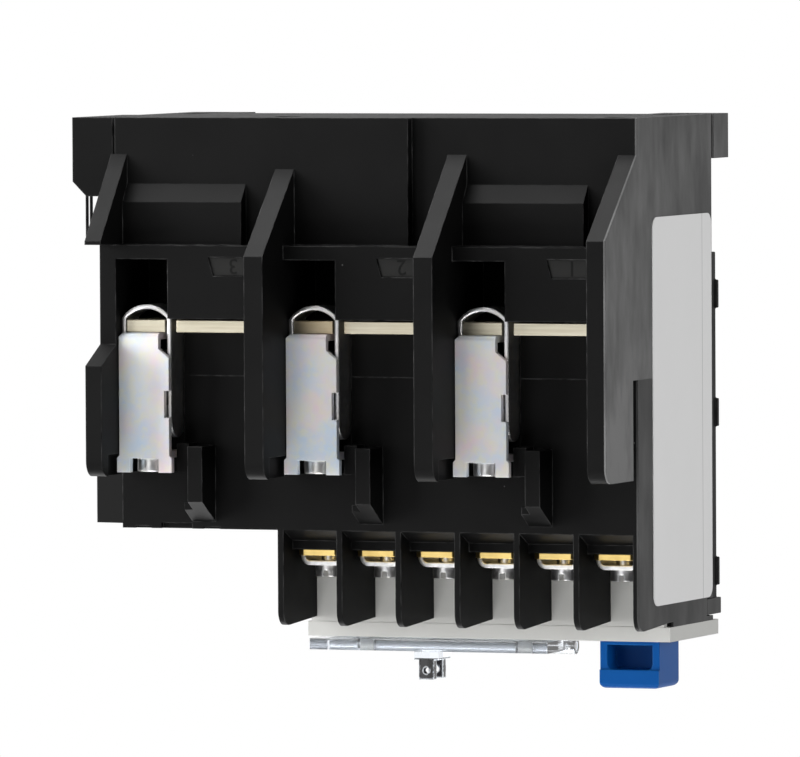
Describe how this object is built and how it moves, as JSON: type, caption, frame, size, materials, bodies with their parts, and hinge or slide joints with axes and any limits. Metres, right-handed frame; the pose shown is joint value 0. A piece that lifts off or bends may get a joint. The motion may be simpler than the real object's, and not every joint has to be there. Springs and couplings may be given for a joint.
{
  "type": "solid-state overload relay",
  "caption": "Moulded motor overload relay with box-lug power poles between deep barriers, a control terminal block, a hinged clear window over the settings and a push reset lever.",
  "frame": {"origin": "on the mounting face, under the middle power pole, in the plane of the load-side wall", "axes": "+Z from the mounting face to the front with window and reset, -Y to the load side with the lugs, +Y to the line side with the bar tabs, -X to the side with the label"},
  "size_m": [0.1059, 0.0717, 0.1011],
  "materials": {
    "black_plastic": "moulded satin black",
    "grey_plastic": "moulded matte grey",
    "clear_plastic": "clear moulding",
    "blue_plastic": "moulded blue",
    "spring_steel": "drawn wire",
    "tinned_copper": "tinned",
    "zinc_plate": "zinc plated",
    "brass": "stamped",
    "core_steel": "laminated",
    "coil_copper": "wound wire",
    "board_green": "lacquered board",
    "relay_case": "moulded",
    "capacitor_can": "drawn can",
    "chip_black": "moulded",
    "ribbon_grey": "flat cable",
    "dial_white": "moulded white",
    "switch_red": "moulded red",
    "switch_black": "moulded",
    "flag_orange": "moulded orange",
    "label_white": "printed film"
  },
  "bodies": {
    "housing": {"base_housing": "black_plastic", "front_housing": "black_plastic", "rear_cover": "black_plastic", "front_cover": "grey_plastic", "reset_spring": "spring_steel", "window_pin": "spring_steel", "busbar_1": "tinned_copper", "busbar_2": "tinned_copper", "busbar_3": "tinned_copper", "lug_plate_1": "zinc_plate", "lug_plate_2": "zinc_plate", "lug_plate_3": "zinc_plate", "saddle_washers": "zinc_plate", "terminal_screws": "zinc_plate", "case_screws": "zinc_plate", "board_screws": "zinc_plate", "terminal_plate_1": "brass", "terminal_plate_2": "brass", "terminal_plate_3": "brass", "terminal_plate_4": "brass", "terminal_plate_5": "brass", "terminal_plate_6": "brass", "sensor_core_1": "core_steel", "sensor_core_2": "core_steel", "sensor_core_3": "core_steel", "sensor_coil_1": "coil_copper", "sensor_coil_2": "coil_copper", "sensor_coil_3": "coil_copper", "circuit_board": "board_green", "setting_board": "board_green", "trip_relay": "relay_case", "storage_capacitor": "capacitor_can", "controller_chip": "chip_black", "dial_pot": "chip_black", "ribbon_link": "ribbon_grey", "class_switch": "switch_red", "test_switch": "switch_black", "side_label": "label_white"},
    "lug_screw_1": {"lug_screw_1": "zinc_plate"},
    "lug_strap_1": {"lug_strap_1": "zinc_plate"},
    "class_slider_1": {"class_slider_1": "dial_white"},
    "lug_screw_2": {"lug_screw_2": "zinc_plate"},
    "lug_strap_2": {"lug_strap_2": "zinc_plate"},
    "class_slider_2": {"class_slider_2": "dial_white"},
    "lug_screw_3": {"lug_screw_3": "zinc_plate"},
    "lug_strap_3": {"lug_strap_3": "zinc_plate"},
    "class_slider_3": {"class_slider_3": "dial_white"},
    "reset_lever": {"reset_lever": "blue_plastic"},
    "window": {"window_cover": "clear_plastic"},
    "current_dial": {"current_dial": "dial_white"},
    "test_button": {"test_button": "switch_red"},
    "trip_flag": {"trip_flag": "flag_orange"}
  },
  "joints": [
    {"name": "lug_screw_turn_1", "type": "hinge", "parent": "housing", "child": "lug_screw_1", "pos_m": [-0.02255, -0.00225, 0.05], "axis": [0, 0, 1], "range_deg": [0, 2700]},
    {"name": "lug_clamp_1", "type": "slide", "parent": "housing", "child": "lug_strap_1", "axis": [0, 0, -1], "range_m": [0, 0.0075]},
    {"name": "lug_screw_turn_2", "type": "hinge", "parent": "housing", "child": "lug_screw_2", "pos_m": [0.0092, -0.00225, 0.05], "axis": [0, 0, 1], "range_deg": [0, 2700]},
    {"name": "lug_clamp_2", "type": "slide", "parent": "housing", "child": "lug_strap_2", "axis": [0, 0, -1], "range_m": [0, 0.0075]},
    {"name": "lug_screw_turn_3", "type": "hinge", "parent": "housing", "child": "lug_screw_3", "pos_m": [0.04095, -0.00225, 0.05], "axis": [0, 0, 1], "range_deg": [0, 2700]},
    {"name": "lug_clamp_3", "type": "slide", "parent": "housing", "child": "lug_strap_3", "axis": [0, 0, -1], "range_m": [0, 0.0075]},
    {"name": "reset_press", "type": "slide", "parent": "housing", "child": "reset_lever", "axis": [0, 0, -1], "range_m": [0, 0.003], "stiffness_N_per_m": 400, "springref_m": -0.002, "deforming": ["reset_spring"]},
    {"name": "window_open", "type": "hinge", "parent": "housing", "child": "window", "pos_m": [-0.003, 0.032, 0.0946], "axis": [-1, 0, 0], "range_deg": [0, 105]},
    {"name": "current_dial_turn", "type": "hinge", "parent": "housing", "child": "current_dial", "pos_m": [0.00496, 0.0246, 0.088], "axis": [0, 0, 1], "range_deg": [-135, 135]},
    {"name": "class_slide_1", "type": "slide", "parent": "housing", "child": "class_slider_1", "axis": [0, 1, 0], "range_m": [0, 0.0018]},
    {"name": "class_slide_2", "type": "slide", "parent": "housing", "child": "class_slider_2", "axis": [0, 1, 0], "range_m": [0, 0.0018]},
    {"name": "class_slide_3", "type": "slide", "parent": "housing", "child": "class_slider_3", "axis": [0, 1, 0], "range_m": [0, 0.0018]},
    {"name": "test_press", "type": "slide", "parent": "housing", "child": "test_button", "axis": [0, 0, -1], "range_m": [0, 0.0012], "stiffness_N_per_m": 500, "springref_m": -0.001},
    {"name": "trip_flag_slide", "type": "slide", "parent": "housing", "child": "trip_flag", "axis": [0, 1, 0], "range_m": [0, 0.0034]}
  ],
  "couplings": [
    {"joint": "lug_screw_turn_1", "follows": "lug_clamp_1", "rad_per_m": 6283.2},
    {"joint": "lug_screw_turn_2", "follows": "lug_clamp_2", "rad_per_m": 6283.2},
    {"joint": "lug_screw_turn_3", "follows": "lug_clamp_3", "rad_per_m": 6283.2}
  ]
}
